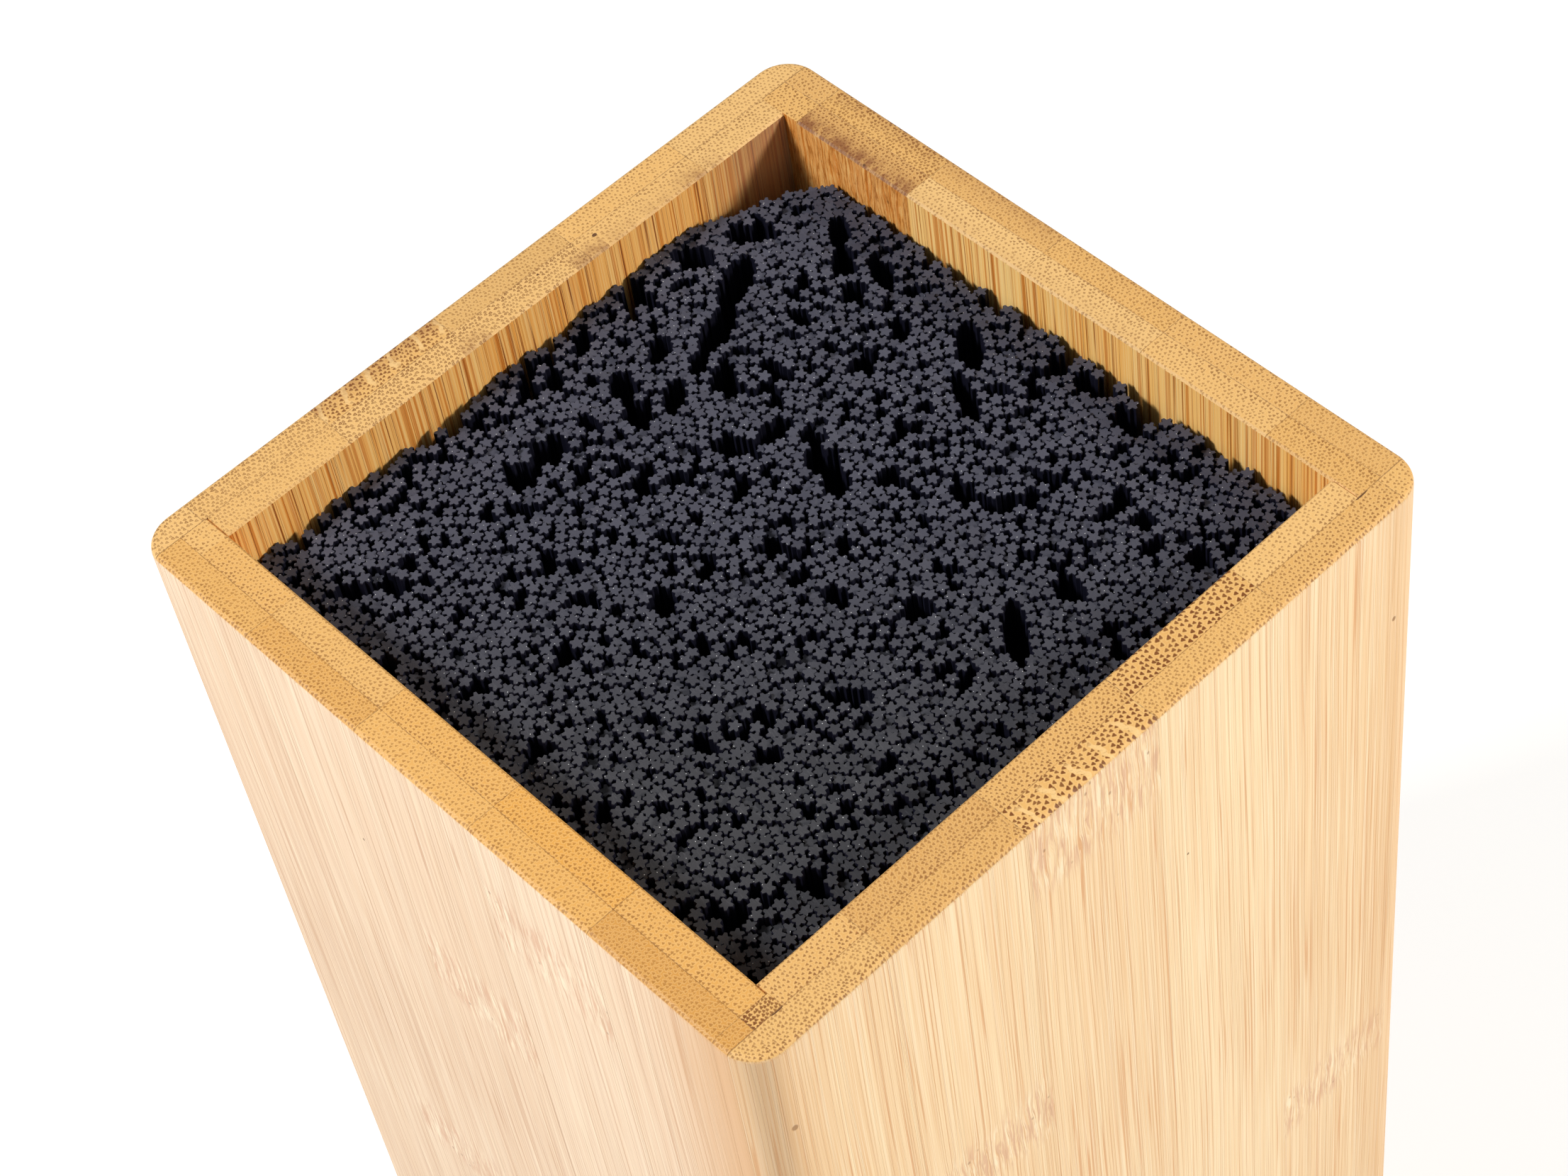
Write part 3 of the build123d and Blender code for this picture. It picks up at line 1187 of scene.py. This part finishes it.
def rod_faces(count):
    """The corners of all faces in one row, and how many corners each face has.

    Between two rings, a face joins each point and the next one to the two above
    them. The top is the last ring, and the bottom is the first one backwards.
    """
    start = np.arange(count)[:, None, None] * len(ring_heights) * ring_size
    ring = np.arange(len(ring_heights) - 1)[:, None] * ring_size
    here = np.arange(ring_size)
    after = (here + 1) % ring_size
    quads = np.stack(
        [
            start + ring + here,
            start + ring + after,
            start + ring + ring_size + after,
            start + ring + ring_size + here,
        ],
        -1,
    ).reshape(-1, 4)
    top = start[:, 0] + (len(ring_heights) - 1) * ring_size + here
    bottom = start[:, 0] + here[::-1]
    corners = np.concatenate([quads.ravel(), top.ravel(), bottom.ravel()])
    totals = np.concatenate([np.full(len(quads), 4), np.full(2 * count, ring_size)])
    return corners, totals


print(len(rod_faces(1)[1]), "faces on each rod")

# %% [markdown]
# ## Sixteen bundles
#
# All rods in one mesh would be heavy to handle, and one object for each would be
# slow, so they are made in the same sixteen bundles as in the CAD model, each of
# which takes the place of its own bundle there. Each rod also keeps a random tone,
# stored on its points, for the finish to read.


# %% Make the bundles
def star_rods(name, chosen):
    """One mesh of the chosen rods, with the tone of each rod on its points."""
    points = rod_points(chosen)
    corners, totals = rod_faces(len(chosen))
    mesh = bpy.data.meshes.new(name)
    mesh.vertices.add(points.size // 3)
    mesh.vertices.foreach_set("co", (points * MM).astype(np.float32).ravel())
    mesh.loops.add(len(corners))
    mesh.loops.foreach_set("vertex_index", corners.astype(np.int32))
    mesh.polygons.add(len(totals))
    starts = np.concatenate([[0], np.cumsum(totals)[:-1]])
    mesh.polygons.foreach_set("loop_start", starts.astype(np.int32))
    mesh.polygons.foreach_set("use_smooth", np.zeros(len(totals), bool))
    mesh.update(calc_edges=True)
    mesh.validate()

    shade = mesh.attributes.new("tone", "FLOAT", "POINT")
    per_point = np.repeat(tone[chosen], len(ring_heights) * ring_size)
    shade.data.foreach_set("value", per_point.astype(np.float32))
    piece = bpy.data.objects.new(name, mesh)
    bpy.context.collection.objects.link(piece)
    return piece


margin = 0.1
bundle_width = 2 * (first_rod + rod_radius + margin) / 4
columns = np.clip((feet / bundle_width + 2).astype(int), 0, 3)
rod_pieces = []
for row in range(4):
    for column in range(4):
        chosen = np.nonzero((columns[:, 0] == column) & (columns[:, 1] == row))[0]
        label = f"{'abcd'[row]}{column + 1}"
        piece = star_rods(f"star_rods_{label}", chosen)
        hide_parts(f"rods_{label}")
        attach(piece, "insert")
        rod_pieces.append(piece)
faces = sum(len(piece.data.polygons) for piece in rod_pieces)
print(len(rod_pieces), "bundles,", faces, "faces")

# %% [markdown]
# ## Black plastic, cut and drawn
#
# The sides of a rod are drawn smooth and almost black, a slightly blue black that
# is partly the plastic's own and partly a painted bluish haze. Its end has been sheared
# off, which leaves it rough, greyer, and with a few bright threads and specks:
# partly grains of plastic dust and partly painted glints where light catches the
# cut. So the finish again asks which way the surface faces. The grey of the ends
# is painted a little paler and bluer towards the back left, a painted bluish haze.

# %% Finish the rods
rod_finish = Finish("rod_plastic_cut")
x, y, z = rod_finish.millimetres()
facing = rod_finish.node("ShaderNodeNewGeometry", output="Normal")
split = rod_finish.node("ShaderNodeSeparateXYZ", inputs={0: facing}).socket.node.outputs
cut_face = Term(rod_finish, split["Z"]).rise(0.72, 0.93)
rod_tone = rod_finish.node("ShaderNodeAttribute", {"attribute_name": "tone"}, output=2)

grain = rod_finish.noise(x * 6, y * 6, z * 0.5, detail=4, roughness=0.7)
drag = rod_finish.noise(x * 1.2 + y * 5, y * 1.5 - x * 0.5, z * 0.3, detail=3)
bright_bit_cells = 0.9
bright_bit_spot = rod_finish.vector(x * bright_bit_cells, y * bright_bit_cells)
bright_bit_voronoi = rod_finish.node(
    "ShaderNodeTexVoronoi", {"voronoi_dimensions": "2D"}, {"Vector": bright_bit_spot, "Scale": 1.0}
)
often = rod_finish.noise(x * 0.11, y * 0.11, 3.0, detail=2)
bright_bit_pick = Term(rod_finish, bright_bit_voronoi.socket.node.outputs["Color"])
bright_bit_size = rod_finish.node("ShaderNodeSeparateXYZ", inputs={0: bright_bit_pick})
# Bright specks on the cut ends: partly grains of plastic dust and partly painted glints where
# light catches the cut.
dust_and_glint_speck = (bright_bit_voronoi / bright_bit_cells - bright_bit_size * 0.05).rise(0.045, -0.01)
dust_and_glint_specks = dust_and_glint_speck * (bright_bit_size + often * 0.9).rise(1.16, 1.28)

# Painted haze: the grey of the cut ends turns paler and bluer towards the back left, a painted
# bluish haze of light over the rods.
painted_haze = (y - x).rise(-60.0, 20.0)
end_dark = rod_finish.mix(painted_haze, (0.029, 0.029, 0.034), (0.043, 0.043, 0.062))
end_pale = rod_finish.mix(painted_haze, (0.055, 0.055, 0.062), (0.080, 0.080, 0.108))
end_grey = rod_finish.mix(rod_tone * 0.5 + grain * 0.5, end_dark, end_pale)
end_grey = rod_finish.mix(drag.rise(0.55, 0.75) * 0.4, end_grey, (0.095, 0.095, 0.105))
# The sides are a slightly blue black: the plastic's own near black with a painted bluish haze.
rod_colour = rod_finish.mix(cut_face, (0.008, 0.008, 0.017), end_grey)
# Painted glints and dust: the specks on the cut ends are mixed towards near white.
rod_colour = rod_finish.mix(dust_and_glint_specks * cut_face * 0.8, rod_colour, (0.70, 0.71, 0.73))
rod_finish.feed(
    Base_Color=rod_colour,
    Roughness=0.38 + cut_face * 0.28 + grain * 0.08,
    Specular_IOR_Level=0.28,
)
rod_finish.bump(grain * cut_face + dust_and_glint_specks * 2, 0.03)
for piece in rod_pieces:
    piece.data.materials.append(rod_finish.material)
print("rods finished")

# %% [markdown]
# ## Floor and light
#
# The block stands on a pale floor that is large enough to fill the view. The floor
# glows a little, like the lit table that small goods are shown on, so that it
# stays white around the block.

# %% Make the floor
floor_mesh = bpy.data.meshes.new("floor")
reach = 6.0
floor_mesh.from_pydata(
    [(-reach, -reach, 0), (reach, -reach, 0), (reach, reach, 0), (-reach, reach, 0)],
    [],
    [(0, 1, 2, 3)],
)
floor = bpy.data.objects.new("floor", floor_mesh)
bpy.context.collection.objects.link(floor)

floor_finish = Finish("pale_floor")
floor_finish.feed(
    Base_Color=(0.4, 0.4, 0.4, 1.0),
    Roughness=0.6,
    Emission_Color=(1.0, 1.0, 1.0, 1.0),
    Emission_Strength=0.67,
)
floor_mesh.materials.append(floor_finish.material)
print("floor", 2 * reach, "m wide")

# %% [markdown]
# Two soft boxes light the block from either side: one low at the back right, which
# throws the shadow of the back wall onto the left one, and one high at the front
# left. Small boxes give the shadows a fairly crisp edge. A pale sky fills in the
# rest. The view transform is the plain one, which leaves white as white.


# %% Light it
def soft_box(name, towards, distance, size, power, colour):
    """A square area light at a distance in a direction, facing the block's rim."""
    light = bpy.data.lights.new(name, "AREA")
    light.size = size
    light.energy = power
    light.color = colour
    lamp = bpy.data.objects.new(name, light)
    direction = Vector(towards).normalized()
    facing_rim = direction.to_track_quat("Z", "Y").to_matrix().to_4x4()
    place = direction * distance + Vector((0, 0, rim_height))
    lamp.matrix_world = Matrix.Translation(place) @ facing_rim
    bpy.context.collection.objects.link(lamp)


warm, cold = (1.0, 0.96, 0.87), (0.98, 0.99, 1.0)
soft_box("back_right_light", (0.80, 0.65, 0.48), 1.2, 0.22, 11.9, warm)
soft_box("front_left_light", (-0.35, -0.80, 0.75), 1.2, 0.25, 14.1, cold)

sky = bpy.data.worlds.new("sky")
sky.use_nodes = True
background = sky.node_tree.nodes["Background"]
background.inputs["Color"].default_value = (1, 1, 1, 1)
background.inputs["Strength"].default_value = 0.26
bpy.context.scene.world = sky
bpy.context.scene.view_settings.view_transform = "Standard"
print("two soft boxes and a pale sky")
